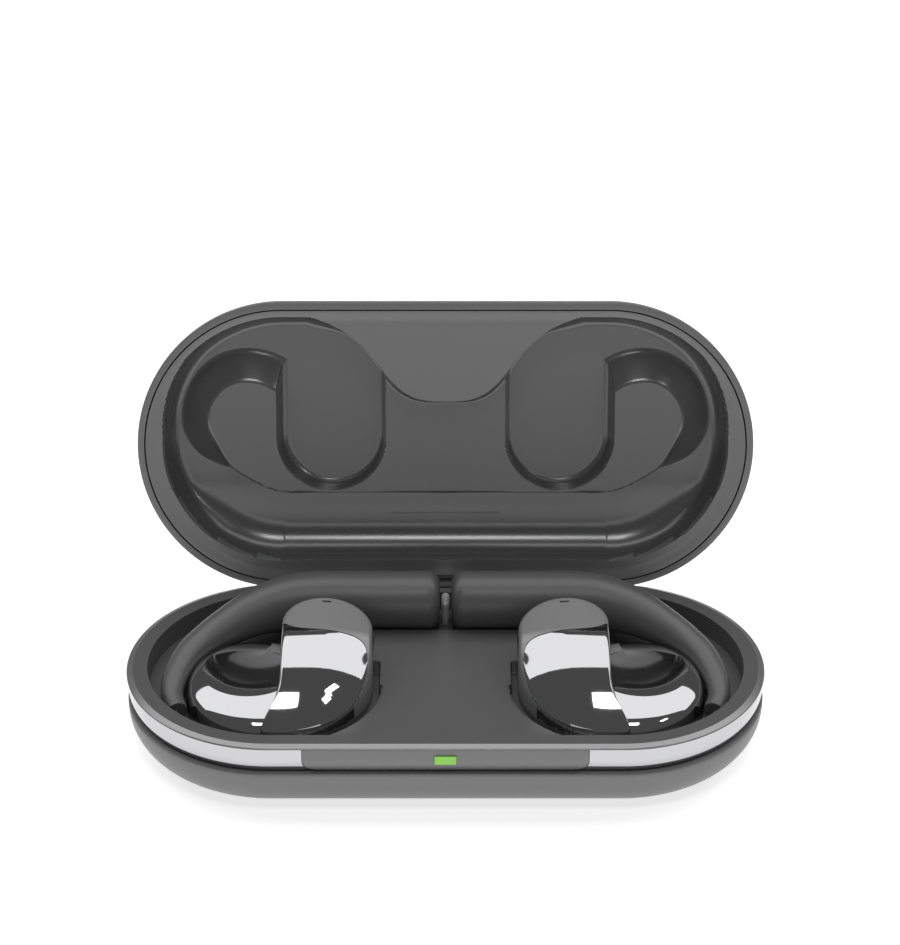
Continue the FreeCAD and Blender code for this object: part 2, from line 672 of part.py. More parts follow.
def lid_parts():
    channel = rod("channel_room", "channel_radius", "channel_half + channel_half",
                  "-channel_half", "barrel_y", "barrel_z", "x")
    mouth = block("channel_mouth", "-channel_half", "channel_half", "barrel_y", "barrel_y + channel_radius",
                  "lip_height - 1", "barrel_z")
    rooms = [channel, mouth]
    for sign in (-1, 1):
        for drop in (0.0, 2.0):
            room = hook_tube(size("channel_gap"), 0)
            room.translate(V(0, 0, -drop))
            rooms.append(own_shape("hook_room", mirrored(room, sign)))
    liner = liner_body()
    for room in rooms:
        liner = cut("lid_liner", liner, [room])
    arm = hinge_arm()
    cover_tube = cut("cover_tube", rod("cover_outer", "channel_radius - 0.02",
                                       "ear_outer + ear_outer", "-ear_outer", "barrel_y",
                                       "barrel_z", "x"),
                     [rod("cover_inner", "channel_radius - 0.5", "40", "-20", "barrel_y",
                          "barrel_z", "x")])
    cover_keep = block("cover_keep", "-ear_outer", "ear_outer", "barrel_y - 5", "barrel_y - 1",
                       "barrel_z + 3", "barrel_z + 6")
    cover = doc.addObject("Part::Common", "lid_hinge_cover")
    cover.Label = "lid_hinge_cover"
    cover.Base = cover_tube
    cover.Tool = cover_keep
    magnets = [block(name, low, high, "-magnet_slot_front + 0.1", "-magnet_slot_back - 0.1",
                     "lid_magnet_seat + 0.02", "lid_magnet_seat + 2.1")
               for name, low, high in (
                   ("lid_magnet_left", "-magnet_slot_out + 0.1", "-magnet_slot_in - 0.1"),
                   ("lid_magnet_right", "magnet_slot_in + 0.1", "magnet_slot_out - 0.1"))]
    return [lid_shell(), liner, cover, arm] + magnets


# ---------------------------------------------------------------- earbuds, left one first

# hook centre line from the barrel round the end of the case: X, Y, Z over the lip, radius
HOOK = [(22.0, 15.6, 2.5, 5.1), (26.0, 15.2, 2.5, 5.0), (29.6, 14.0, 2.4, 4.7),
        (33.4, 11.9, 2.2, 4.15), (37.5, 8.8, 1.6, 3.5), (41.3, 5.0, 1.0, 2.95),
        (44.1, 0.8, 0.5, 2.55), (45.9, -4.4, -0.4, 2.2), (46.2, -8.5, -1.3, 1.9),
        (45.0, -12.4, -1.85, 1.7)]


def mirrored(shape, sign):
    # shapes are built on the +X side; the left earbud is their mirror image
    return shape if sign > 0 else shape.mirror(V(0, 0, 0), V(1, 0, 0))


def hook_points():
    lip = size("lip_height")
    return [(V(x, y, lip + z), r) for x, y, z, r in HOOK]


def hook_tube(extra, start, fixed=None):
    # a smooth tube through circles square to the centre line
    points = hook_points()[start:]
    curve = Part.BSplineCurve()
    curve.interpolate([p for p, _ in points])
    sections = []
    for i, (point, radius) in enumerate(points):
        tangent = V(1, 0, 0) if i == 0 and start == 0 else curve.tangent(curve.parameter(point))[0]
        ring_edge = Part.makeCircle(fixed if fixed else radius + extra)
        turn = FreeCAD.Rotation(V(0, 0, 1), V(), tangent, "ZXY")
        ring_edge.Placement = FreeCAD.Placement(point, turn)
        sections.append(Part.Wire(ring_edge))
    return Part.makeLoft(sections, True, False)


def upright_plan(radius, front, back, low, high):
    x = size("tall_x")
    top = V(x, back - radius, low)
    bottom = V(x, front + radius, low)
    edges = [Part.Arc(top + V(radius, 0, 0), top + V(0, radius, 0), top - V(radius, 0, 0)),
             Part.LineSegment(top - V(radius, 0, 0), bottom - V(radius, 0, 0)),
             Part.Arc(bottom - V(radius, 0, 0), bottom - V(0, radius, 0),
                      bottom + V(radius, 0, 0)),
             Part.LineSegment(bottom + V(radius, 0, 0), top + V(radius, 0, 0))]
    face = Part.Face(Part.Wire([e.toShape() for e in edges]))
    return face.extrude(V(0, 0, high - low))


def upright_side(inset):
    # side view of the upright lobe: level at the back, falling in a curve to the front
    lip, top = size("lip_height"), size("tall_top") - inset
    low = size("bud_low") + inset
    back = size("tall_back") + 1
    crest = [V(0, back, top), V(0, -1.5, top - 0.3), V(0, -8.0, lip + 7.0 - inset),
             V(0, -13.5, lip + 4.6 - inset), V(0, -17.8, lip + 1.4 - inset),
             V(0, -20.6, lip - 1.8 - inset)]
    slope = Part.BSplineCurve()
    slope.interpolate(crest)
    front = V(0, -22, lip - 3.6 - inset)
    corners = [crest[-1], front, V(0, -22, low), V(0, back, low), crest[0]]
    edges = [slope.toShape()] + [Part.LineSegment(a, b).toShape()
                                 for a, b in zip(corners, corners[1:])]
    face = Part.Face(Part.Wire(edges))
    side = face.extrude(V(40, 0, 0))
    return side


def bud_solid(inset):
    radius = size("round_radius") - inset
    low, high = size("bud_low") + inset, size("round_top") - inset
    centre = V(size("round_x"), -size("round_y"), low)
    lobe = Part.makeCylinder(radius, high - low, centre)
    top = [e for e in lobe.Edges if abs(e.BoundBox.ZMin - high) < 1e-5
           and e.BoundBox.ZLength < 1e-5]
    base = [e for e in lobe.Edges if abs(e.BoundBox.ZMax - low) < 1e-5]
    lobe = lobe.makeFillet(2.8 - inset, top).makeFillet(2.2 - inset, base)
    tall = upright_plan(size("tall_radius") - inset, -size("tall_front") + inset,
                        size("tall_back") - inset, low, size("tall_top"))
    tall = tall.common(upright_side(inset))
    bottom = [e for e in tall.Edges if abs(e.BoundBox.ZMax - low) < 1e-5]
    tall = tall.makeFillet(1.8 - inset, bottom)
    return lobe.fuse(tall).removeSplitter()


def slab(x0, x1, y0, y1, z0, z1):
    return Part.makeBox(x1 - x0, y1 - y0, z1 - z0, V(x0, y0, z0))


def cap_region():
    # everything behind the slanting seam over the upright lobe, and its inner side wall
    low, high = size("bud_split") - 1, size("tall_top") + 1
    corners = [V(11, 12, low), V(30, 12, low), V(30, 0.2, low), V(25.5, -1.9, low),
               V(20.4, -2.3, low), V(15.5, -3.0, low), V(13.4, -4.6, low), V(13.2, -16, low),
               V(11, -16, low)]
    wire = Part.makePolygon(corners + [corners[0]])
    return Part.Face(wire).extrude(V(0, 0, high - low))


def contact_spots():
    return [(size("tall_x") + step * size("pogo_x"), -size("pogo_y")) for step in (-1, 1)]


def bud_shells():
    whole, room = bud_solid(0.0), bud_solid(size("bud_wall"))
    split, low, high = size("bud_split"), size("bud_low"), size("tall_top")
    skin = whole.cut(room).cut(hook_tube(0.0, 0))
    upper = skin.common(slab(5, 60, -30, 30, split, high + 1))
    lower = skin.common(slab(5, 60, -30, 30, low - 1, split))
    region = cap_region()
    cap, outer = upper.common(region), upper.cut(region)
    slit = slab(19.7, 21.3, 6.2, 6.75, high - 1.5, high + 1)
    cap = cap.cut(slit)
    mesh = slab(19.7, 21.3, 6.2, 6.75, high - size("bud_wall") - 0.1, high - 0.3)
    x, y, wall = size("round_x"), -size("round_y"), size("bud_wall")
    opening = Part.makeCylinder(size("grille_radius"), 2, V(x, y, low - 0.5))
    grille = Part.makeCylinder(size("grille_radius"), 0.5, V(x, y, low + 0.2))
    for ring_radius, count in ((0.0, 1), (1.6, 6), (3.2, 12), (4.5, 18)):
        for k in range(count):
            turn = 2 * math.pi * k / count
            spot = V(x + ring_radius * math.cos(turn), y + ring_radius * math.sin(turn), low)
            grille = grille.cut(Part.makeCylinder(0.45, 2, spot))
    lower = lower.cut(opening)
    contacts = []
    for cx, cy in contact_spots():
        stud = Part.makeCylinder(size("contact_radius"), wall + 0.3, V(cx, cy, low + 0.05))
        lower = lower.cut(stud)
        contacts.append(stud)
    return {"outer_shell": outer, "touch_cap": cap, "inner_housing": lower,
            "mic_mesh": mesh, "speaker_grille": grille,
            "contacts": Part.makeCompound(contacts)}


def bud_inner():
    x, y, low = size("round_x"), -size("round_y"), size("bud_low")
    driver = Part.makeCylinder(size("driver_radius"), 1.2, V(x, y, low + 1.1))
    magnet = Part.makeCylinder(size("driver_radius") - 2.2, size("driver_height") - 1.2,
                               V(x, y, low + 2.3))
    board = slab(14.5, 22.6, -12.5, 3.0, low + 7.0, low + 7.8)
    chip = slab(16.2, 20.7, -6.0, -1.5, low + 7.8, low + 8.8)
    disc_magnet = Part.makeCylinder(size("magnet_radius"), 1.5,
                                    V(size("tall_x"), -size("magnet_y"), low + 0.95))
    return {"driver": driver.fuse(magnet).removeSplitter(),
            "board": board.fuse(chip).removeSplitter(), "magnet": disc_magnet}


def barrel_parts():
    radius, wall = size("barrel_radius"), size("barrel_wall")
    y, z = size("barrel_y"), size("barrel_z")
    start, end = size("barrel_end"), size("barrel_start")
    x_axis = V(1, 0, 0)
    outer = Part.makeCylinder(radius, end - start, V(start, y, z), x_axis)
    nose = [e for e in outer.Edges if e.BoundBox.XMax < start + 1e-5]
    outer = outer.makeFillet(size("barrel_round"), nose)
    room = Part.makeCylinder(radius - wall, end - start - 1.0, V(start + 1.0, y, z), x_axis)
    inner_nose = [e for e in room.Edges if e.BoundBox.XMax < start + 1.0 + 1e-5]
    room = room.makeFillet(size("barrel_round") - wall, inner_nose)
    cell = Part.makeCylinder(size("cell_radius"), size("cell_length"), V(start + 2.6, y, z),
                             x_axis)
    return outer.cut(room), cell


def wire_shape(extra):
    # spring wire along the hook, with a short straight tail inside the barrel
    wire = hook_tube(0.0, 0, size("wire_radius") + extra)
    tail = Part.makeCylinder(size("wire_radius") + extra, 1.2,
                             V(size("barrel_start") - 1.2, size("barrel_y"), size("barrel_z")),
                             V(1, 0, 0))
    return wire.fuse(tail).removeSplitter()


def earbud(side, sign):
    shapes = dict(bud_shells())
    shapes.update(bud_inner())
    barrel, cell = barrel_parts()
    wire = wire_shape(0.0)
    sleeve = hook_tube(0.0, 0).cut(bud_solid(0.0)).cut(wire_shape(0.02))
    sleeve = max(sleeve.Solids, key=lambda s: s.Volume)
    shapes.update({"battery_barrel": barrel, "battery_cell": cell, "memory_wire": wire,
                   "hook_sleeve": sleeve})
    return [own_shape("%s_%s" % (side, name), mirrored(shape, sign))
            for name, shape in shapes.items()]


# ---------------------------------------------------------------- build, place, check, export

def build():
    fixed = base_parts()
    fixed.append(button())
    for side, sign in (("left", "-"), ("right", "")):
        fixed.append(pogo_pins(side, sign))
    for side, sign in (("left", -1), ("right", 1)):
        fixed += earbud(side, sign)
    lid = lid_parts()
    doc.recompute()
    axis = V(0, size("hinge_y"), size("hinge_z"))
    swing = FreeCAD.Rotation(V(1, 0, 0), -size("open_angle"))
    opened = FreeCAD.Placement(V(0, 0, 0), swing, axis)
    for part in lid:
        for path in list(part.ExpressionEngine):
            part.setExpression(path[0], None)
        part.Placement = opened.multiply(part.Placement)
    doc.recompute()
    return fixed + lid


def export(parts):
    for item in doc.Objects:
        if "Invalid" in item.State or "Error" in item.State:
            raise RuntimeError("%s did not compute" % item.Label)
    for part in parts:
        if part.Shape.isNull() or not part.Shape.isValid():
            raise RuntimeError("%s has a bad shape" % part.Label)
        part.Shape.exportStep("parts/%s.step" % part.Label)


export(build())
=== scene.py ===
import json
import math

import bmesh
import bpy
import numpy as np
from mathutils import Matrix, Vector


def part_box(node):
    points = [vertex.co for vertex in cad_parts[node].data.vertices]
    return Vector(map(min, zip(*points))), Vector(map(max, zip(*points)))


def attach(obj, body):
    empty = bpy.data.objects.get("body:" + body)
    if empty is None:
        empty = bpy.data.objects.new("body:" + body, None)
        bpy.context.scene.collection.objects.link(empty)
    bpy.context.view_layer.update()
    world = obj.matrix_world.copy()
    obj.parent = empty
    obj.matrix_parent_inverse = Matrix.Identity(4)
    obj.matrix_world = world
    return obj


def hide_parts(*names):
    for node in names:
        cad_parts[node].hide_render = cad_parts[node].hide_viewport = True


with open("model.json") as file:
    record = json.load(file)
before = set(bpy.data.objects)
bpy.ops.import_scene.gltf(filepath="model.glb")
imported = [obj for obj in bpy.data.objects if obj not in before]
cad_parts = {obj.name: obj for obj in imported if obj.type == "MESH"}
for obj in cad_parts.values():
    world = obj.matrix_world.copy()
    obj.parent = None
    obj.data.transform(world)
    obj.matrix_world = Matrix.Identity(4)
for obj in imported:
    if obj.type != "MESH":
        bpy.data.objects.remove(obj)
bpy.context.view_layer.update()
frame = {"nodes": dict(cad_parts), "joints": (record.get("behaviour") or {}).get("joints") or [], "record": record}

# All sizes below are millimetres in the frame of the CAD model; MM turns them into metres.
MM = 0.001


def corner(node, which, axis):
    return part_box(node)[which][axis] / MM


# driving sizes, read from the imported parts
LIP_Z = corner("lip_ring", 1, 2)
HALF_LENGTH = corner("lip_ring", 1, 0)
HALF_WIDTH = corner("waist_band", 1, 1) + 0.3
STRAIGHT = HALF_LENGTH - HALF_WIDTH
SEAM_Z = corner("base_shell", 1, 2)
BUD_LOW = corner("left_inner_housing", 0, 2)
BARREL_END = -corner("left_battery_barrel", 1, 0)
BARREL_SPLIT = -corner("left_battery_barrel", 0, 0)
HINGE = next(j for j in frame["joints"] if j["name"] == "lid_hinge")
HINGE_Y, HINGE_Z = (v / MM for v in HINGE["pos_m"][1:])
OPEN_ANGLE = math.radians(HINGE["range_deg"][1])
LID_LOW = LIP_Z + 0.3
LID_HEIGHT = 10.5
OUTLINE_STEPS = 160


# ------------------------------------------------------------------ mesh helpers

def smooth_step(t):
    t = np.clip(t, 0.0, 1.0)
    return t * t * (3.0 - 2.0 * t)


def new_object(name, verts, faces, sharp=40.0):
    mesh = bpy.data.meshes.new(name)
    mesh.from_pydata([tuple(v) for v in np.asarray(verts, float) * MM], [], faces)
    mesh.validate()
    mesh.update()
    piece = bpy.data.objects.new(name, mesh)
    bpy.context.scene.collection.objects.link(piece)
    mesh.shade_smooth()
    mesh.set_sharp_from_angle(angle=math.radians(sharp))
    return piece


def grid_faces(rows, columns, around=False, flip=False):
    faces = []
    last = columns if around else columns - 1
    for i in range(rows - 1):
        for j in range(last):
            k = (j + 1) % columns
            quad = (i * columns + j, i * columns + k, (i + 1) * columns + k, (i + 1) * columns + j)
            faces.append(quad[::-1] if flip else quad)
    return faces


def stadium(radius):
    # points round a stadium outline, counter-clockwise from the middle of the right end
    turn = np.linspace(0, 2 * math.pi, OUTLINE_STEPS, endpoint=False)
    side = np.where(np.cos(turn) >= 0, STRAIGHT, -STRAIGHT)
    return np.stack([side + radius * np.cos(turn), radius * np.sin(turn)], axis=1)


def sweep(name, profile, closed=True, sharp=40.0):
    # sweeps (radius, height) points round the stadium; an open profile is capped at both ends
    size, last = OUTLINE_STEPS, (len(profile) - 1) * OUTLINE_STEPS
    rings = [np.column_stack([stadium(r), np.full(size, z)]) for r, z in profile]
    faces = grid_faces(len(profile), size, around=True)
    if closed:
        faces += [(last + j, last + (j + 1) % size, (j + 1) % size, j) for j in range(size)]
    else:
        faces += [tuple(range(size))[::-1], tuple(range(last, last + size))]
    return new_object(name, np.concatenate(rings), faces, sharp)


def arc(cx, cz, rx, rz, start, end, count=12):
    turn = np.radians(np.linspace(start, end, count))
    return [(cx + rx * math.cos(a), cz + rz * math.sin(a)) for a in turn]


def prism(points, low, high, axis="z"):
    # a cutter: a closed outline pulled along one axis, used and then removed
    count = len(points)
    first, second, along = {"z": (0, 1, 2), "y": (0, 2, 1), "x": (1, 2, 0)}[axis]
    verts = np.empty((2 * count, 3))
    verts[:, [first, second]] = np.array(list(points) * 2, float)
    verts[:, along] = np.repeat([low, high], count)
    faces = [tuple(range(count))[::-1], tuple(range(count, 2 * count))]
    faces += [(j, (j + 1) % count, (j + 1) % count + count, j + count) for j in range(count)]
    cutter = new_object("cutter", verts, faces)
    fix_normals(cutter.data)
    return cutter


def fix_normals(mesh):
    work = bmesh.new()
    work.from_mesh(mesh)
    bmesh.ops.recalc_face_normals(work, faces=work.faces)
    work.to_mesh(mesh)
    work.free()


def circle(cx, cy, radius, count=64):
    return arc(cx, cy, radius, radius, 0, 360, count + 1)[:-1]


def pill(cx, cy, half, radius, count, sideways=True):
    # a slot outline: two half circles, half to each side of the middle, along x or along y
    if sideways:
        return (arc(cx - half, cy, radius, radius, 90, 270, count)
                + arc(cx + half, cy, radius, radius, -90, 90, count))
    return (arc(cx, cy + half, radius, radius, 0, 180, count)
            + arc(cx, cy - half, radius, radius, 180, 360, count))


def combine(piece, tool, operation, sharp=40.0):
    # an exact boolean; the tool is removed afterwards
    modifier = piece.modifiers.new("cut", "BOOLEAN")
    modifier.operation = operation
    modifier.object = tool
    modifier.solver = "EXACT"
    graph = bpy.context.evaluated_depsgraph_get()
    mesh = bpy.data.meshes.new_from_object(piece.evaluated_get(graph))
    piece.modifiers.clear()
    piece.data = mesh
    mesh.shade_smooth()
    mesh.set_sharp_from_angle(angle=math.radians(sharp))
    bpy.data.objects.remove(tool)
    return piece


def copy_of(piece, name):
    # a second object with a mesh of its own
    twin = bpy.data.objects.new(name, piece.data.copy())
    bpy.context.scene.collection.objects.link(twin)
    return twin


def mirror_copy(piece, name):
    twin = copy_of(piece, name)
    twin.data.transform(Matrix.Scale(-1, 4, Vector((1, 0, 0))))
    twin.data.flip_normals()
    return twin


def opened(piece):
    # turns a piece modelled on the closed lid to the open rest pose
    pivot = Matrix.Translation(Vector((0, HINGE_Y, HINGE_Z)) * MM)
    swing = pivot @ Matrix.Rotation(-OPEN_ANGLE, 4, "X") @ pivot.inverted()
    piece.data.transform(swing)
    return piece


def settle(piece, body, slot, look, *nodes):
    # gives a piece its look, its body and the CAD nodes that it replaces; slot, the material slot's name, is not
    # used
    piece.data.materials.clear()
    piece.data.materials.append(look)
    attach(piece, body)
    if nodes:
        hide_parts(*nodes)
    return piece


# ------------------------------------------------------------------ materials

def material(name, colour, rough, metal=0.0, grain=0.0, grain_scale=2500.0, **sockets):
    # a principled material; other sockets are named with _ for a space
    made = bpy.data.materials.new(name)
    made.use_nodes = True
    tree = made.node_tree
    shader = tree.nodes["Principled BSDF"]
    shader.inputs["Base Color"].default_value = (*colour, 1.0)
    shader.inputs["Roughness"].default_value = rough
    shader.inputs["Metallic"].default_value = metal
    for socket, value in sockets.items():
        shader.inputs[socket.replace("_", " ")].default_value = value
    if grain:
        place = tree.nodes.new("ShaderNodeTexCoord")
        noise = tree.nodes.new("ShaderNodeTexNoise")
        noise.inputs["Scale"].default_value = grain_scale
        noise.inputs["Detail"].default_value = 3.0
        bump = tree.nodes.new("ShaderNodeBump")
        bump.inputs["Strength"].default_value = grain
        bump.inputs["Distance"].default_value = 0.00006
        tree.links.new(place.outputs["Object"], noise.inputs["Vector"])
        tree.links.new(noise.outputs["Fac"], bump.inputs["Height"])
        tree.links.new(bump.outputs["Normal"], shader.inputs["Normal"])
    return made


def grey(level):
    return (level, level, level * 1.015)


SHELL = material("shell_matte", grey(0.19), 0.42, metal=0.3, grain=0.3, grain_scale=2200.0)
LINER = material("liner_satin", grey(0.13), 0.33, metal=0.3)
# the lid's lining in a lit and a shaded copy of one satin: the lighter copy is painted light on the frame and
# plateau, the darker copy is painted shade in the recesses
LID_LIT_LINER = material("lid_frame_painted_light", grey(0.2), 0.3, metal=0.25)
LID_SHADED_RECESS = material("lid_recess_painted_shade", grey(0.105), 0.24, metal=0.2, Specular_IOR_Level=0.9,
                      Coat_Weight=0.6, Coat_Roughness=0.22)
CHROME = material("dark_chrome", grey(0.4), 0.05, metal=1.0)
BAND_CHROME = material("band_chrome", grey(0.5), 0.09, metal=1.0)
LIP = material("lip_satin", grey(0.27), 0.3, metal=0.6)
BUTTON_METAL = material("button_metal", grey(0.62), 0.35, metal=0.3)
# a darker copy of the steel: painted shade for the hinge, which lies in a deep gap
SHADED_STEEL = material("steel_painted_shade", grey(0.05), 0.45, metal=0.6)
CAP = material("cap_satin", grey(0.28), 0.42, metal=0.4)
SOFT = material("soft_touch", grey(0.115), 0.42, metal=0.25, grain=0.1, grain_scale=3000.0)
STEEL = material("steel", (0.5, 0.5, 0.51), 0.3, metal=1.0)
GOLD = material("gold", (0.83, 0.6, 0.28), 0.25, metal=1.0)
BLACK = material("black", grey(0.012), 0.5)
BOARD = material("board", (0.02, 0.12, 0.06), 0.45)
WRAP = material("cell_wrap", (0.22, 0.24, 0.27), 0.4)
NICKEL = material("nickel", (0.62, 0.6, 0.57), 0.25, metal=1.0)
GLOW = material("green_light", (0.25, 0.6, 0.08), 0.4, Emission_Color=(0.22, 0.6, 0.06, 1),
                Emission_Strength=0.15)

CAD_LOOKS = {
    "graphite_shell": SHELL, "graphite_liner": LINER, "polished_metal": CHROME,
    "soft_touch": SOFT, "matte_cap": CAP, "green_light": GLOW, "steel": STEEL,
    "gold_contact": GOLD, "board_green": BOARD, "cell_wrap": WRAP, "black_plastic": BLACK,
    "magnet_nickel": NICKEL,
}


def dress_cad():
    # every CAD node by its slot; the hinge's steel takes a darker copy, painted shade, as it lies in a deep gap
    slots = {p["node"]: p["material_slot"] for p in frame["record"]["subparts"]}
    for name, node in frame["nodes"].items():
        look = SHADED_STEEL if name.startswith("hinge_") else CAD_LOOKS[slots[name]]
        node.data.materials.clear()
        node.data.materials.append(look)
        node.data.shade_smooth()
        node.data.set_sharp_from_angle(angle=math.radians(32))


# ------------------------------------------------------------------ base of the case

# radius and half length of the room round the hinge
HINGE_ROOM, HINGE_HALF = 2.1, 12.7


def hinge_cutter():
    # the room round the hinge knuckles, cut from every piece that they pass through
    return prism(circle(HINGE_Y, HINGE_Z, HINGE_ROOM), -HINGE_HALF, HINGE_HALF, axis="x")


def make_bowl():
    # the lower shell, with the charging socket's mouth cut through its back
    outer, wall, turn, rise = HALF_WIDTH - 0.4, 1.4, 7.6, 7.5
    profile = [(0.4, 0.0)] + arc(outer - turn, rise, turn, rise, -90, 0, 20)
    profile += [(outer, SEAM_Z - 0.25), (outer - 0.12, SEAM_Z - 0.06), (outer - 0.3, SEAM_Z)]
    profile += [(outer - wall, SEAM_Z)]
    profile += arc(outer - turn, rise, turn - wall, rise - wall, 0, -90, 14)
    profile += [(0.4, wall)]
    bowl = sweep("case_bowl", profile, closed=False)
    socket_z = (corner("usb_port", 0, 2) + corner("usb_port", 1, 2)) / 2
    mouth = pill(0, socket_z, half=2.9, radius=1.85, count=16)
    combine(bowl, prism(mouth, 20, 30, axis="y"), "DIFFERENCE")
    return settle(bowl, "case_base", "graphite_shell", SHELL, "base_shell")


def window_outline(gap):
    # the front window seen from the front: straight top, ends that round in to a shorter foot
    top, foot = LIP_Z + 1.0, LIP_Z - 5.2 - gap
    half_top, half_foot = 23.5 + gap, 20.0 + gap
    end = [(half_foot + (half_top - half_foot) * math.sin(a) ** 0.8,
            foot + 2.3 * (1 - math.cos(a))) for a in np.radians(np.linspace(0, 90, 12))]
    right = end + [(half_top, top)]
    return [(-x, z) for x, z in right][::-1] + right


def band_profile(grow=0.0):
    # a face that bulges gently and turns in towards the seam below it
    top, low = LIP_Z - 0.45, SEAM_Z + 0.15
    outer, inner = HALF_WIDTH - 0.5 + grow, HALF_WIDTH - 1.6
    face = []
    for u in np.linspace(0.0, 1.0, 18):
        turn_in = 0.16 * (1 - u) ** 3 + 0.95 * max(0.0, (u - 0.42) / 0.58) ** 2.2
        face.append((outer - turn_in, top - (top - low) * u))
    return [(inner, low)] + face[::-1] + [(inner, top)]


def make_band():
    # the chrome ring round the waist, open at the front for the panel
    band = sweep("waist_ring", band_profile())
    combine(band, prism(window_outline(0.1), -40, -20, axis="y"), "DIFFERENCE")
    combine(band, hinge_cutter(), "DIFFERENCE")
    return settle(band, "case_base", "polished_metal", BAND_CHROME, "waist_band")


def make_panel():
    # the front panel, with a slot for the status light
    panel = sweep("front_window", band_profile(-0.01))
    combine(panel, prism(window_outline(0.0), -40, -20, axis="y"), "INTERSECT")
    middle, half_wide, half_high = LIP_Z - 2.6, 1.8, 0.8
    light = [(-half_wide, middle - half_high), (half_wide, middle - half_high),
             (half_wide, middle + half_high), (-half_wide, middle + half_high)]
    combine(panel, prism(light, -30, -20, axis="y"), "DIFFERENCE")
    return settle(panel, "case_base", "graphite_shell", SHELL, "front_panel")


# where the bead along the rim's edge meets the tray, as a distance inwards from the outline
RIM_SPLIT = 1.45


def rim_height(inward):
    # the rim's top: a narrow slope along its outer edge, then level as far as the recess
    slope = -0.36 * np.clip(RIM_SPLIT - inward, 0.0, 1.1)
    return slope - 0.12 * np.clip((0.55 - inward) / 0.2, 0, 1) ** 2


def make_lip():
    # the narrow bead along the rim's outer edge
    edge, step, low = 0.35, HALF_WIDTH - 0.75, LIP_Z - 0.42
    profile = [(HALF_WIDTH - RIM_SPLIT, low - 0.5), (step, low - 0.5), (step, low),
               (HALF_WIDTH - edge - 0.08, low)]
    for inward in np.linspace(edge, RIM_SPLIT, 14):
        profile.append((HALF_WIDTH - inward, LIP_Z + float(rim_height(inward))))
    lip = sweep("lip_bead", profile)
    combine(lip, hinge_cutter(), "DIFFERENCE")
    return settle(lip, "case_base", "graphite_shell", LIP, "lip_ring")


# ------------------------------------------------------------------ relief surfaces

# points round each end of a relief's rings, and along each straight side
ARC_STEPS, SIDE_STEPS = 220, 260


def stadium_grid(radius, count):
    # rings that follow the case's outline, from the edge in to the line between the two centres
    along = 1.0 - np.linspace(0.0, 1.0, count) ** 0.85
    rings = np.maximum(radius * along, 0.02)[:, None]
    turn = np.radians(np.linspace(-90, 90, ARC_STEPS + 1))
    side = np.linspace(STRAIGHT, -STRAIGHT, SIDE_STEPS + 1)[1:-1]
    level = np.ones_like(rings)
    x = np.hstack([STRAIGHT + rings * np.cos(turn), level * side,
                   -STRAIGHT - rings * np.cos(turn), -level * side])
    y = np.hstack([rings * np.sin(turn), rings * np.ones_like(side),
                   -rings * np.sin(turn), -rings * np.ones_like(side)])
    return x, y


def edge_depth(x, y):
    # distance inwards from the case's outline
    beyond = np.maximum(np.abs(x) - STRAIGHT, 0.0)
    return HALF_WIDTH - np.hypot(beyond, y)


def relief(name, x, y, top, bottom):
    # a slab between two height fields over one ring grid
    rows, columns = x.shape
    size = rows * columns
    verts = np.concatenate([np.stack([x, y, z], axis=-1).reshape(-1, 3) for z in (top, bottom)])
    sheet = grid_faces(rows, columns, around=True)
    # the innermost ring is closed straight across, strip by strip from the right end; the
    # last sliver at the left end, a few hundredths of a millimetre wide, is left open
    inner, end = (rows - 1) * columns, ARC_STEPS // 2
    for k in range(columns // 2 - 1):
        strip = (end + k, end + k + 1, (end - k - 1) % columns, (end - k) % columns)
        sheet.append(tuple(inner + i for i in dict.fromkeys(strip)))
    faces = sheet + [tuple(size + i for i in f[::-1]) for f in sheet]
    faces += [(j, j + size, (j + 1) % columns + size, (j + 1) % columns) for j in range(columns)]
    piece = new_object(name, verts, faces, sharp=60.0)
    fix_normals(piece.data)
    return piece


def back_notch(half, start):
    # a notch at the back edge that clears the hinge's plate or arm
    return [(-half, start), (half, start), (half, HALF_WIDTH), (-half, HALF_WIDTH)]


def segment_distance(x, y, ax, ay, bx, by):
    # distance from each point to the straight line between a and b
    dx, dy = bx - ax, by - ay
    t = np.clip(((x - ax) * dx + (y - ay) * dy) / (dx * dx + dy * dy), 0, 1)
    return np.hypot(x - ax - t * dx, y - ay - t * dy)


# hook centre line on the +X side: x, y, height over the lip, radius
HOOK = np.array([(22.0, 15.6, 2.5, 5.1), (26.0, 15.2, 2.5, 5.0), (29.6, 14.0, 2.4, 4.7),
                 (33.4, 11.9, 2.2, 4.15), (37.5, 8.8, 1.6, 3.5), (41.3, 5.0, 1.0, 2.95),
                 (44.1, 0.8, 0.5, 2.55), (45.9, -4.4, -0.4, 2.2), (46.2, -8.5, -1.3, 1.9),
                 (45.0, -12.4, -1.85, 1.7)])
BARREL_Y, BARREL_Z, BARREL_R = HOOK[0, 1], HOOK[0, 2], HOOK[0, 3]
ROUND_X, ROUND_Y, ROUND_R = 31.0, -7.5, 12.9
TALL_X, TALL_R, TALL_BACK = 20.1, 7.65, 8.15


def spline(points, count):
    # a Catmull-Rom curve through the points, evenly spread in its parameter
    ends = np.concatenate([[2 * points[0] - points[1]], points, [2 * points[-1] - points[-2]]])
    out = []
    for t in np.linspace(0, len(points) - 1 - 1e-9, count):
        i, f = int(t), t - int(t)
        a, b, c, d = ends[i:i + 4]
        out.append(0.5 * (2 * b + (c - a) * f + (2 * a - 5 * b + 4 * c - d) * f * f
                          + (3 * b - a - 3 * c + d) * f ** 3))
    return np.array(out)


# the straight inner side of each earbud pocket
POCKET_EDGE = 11.4


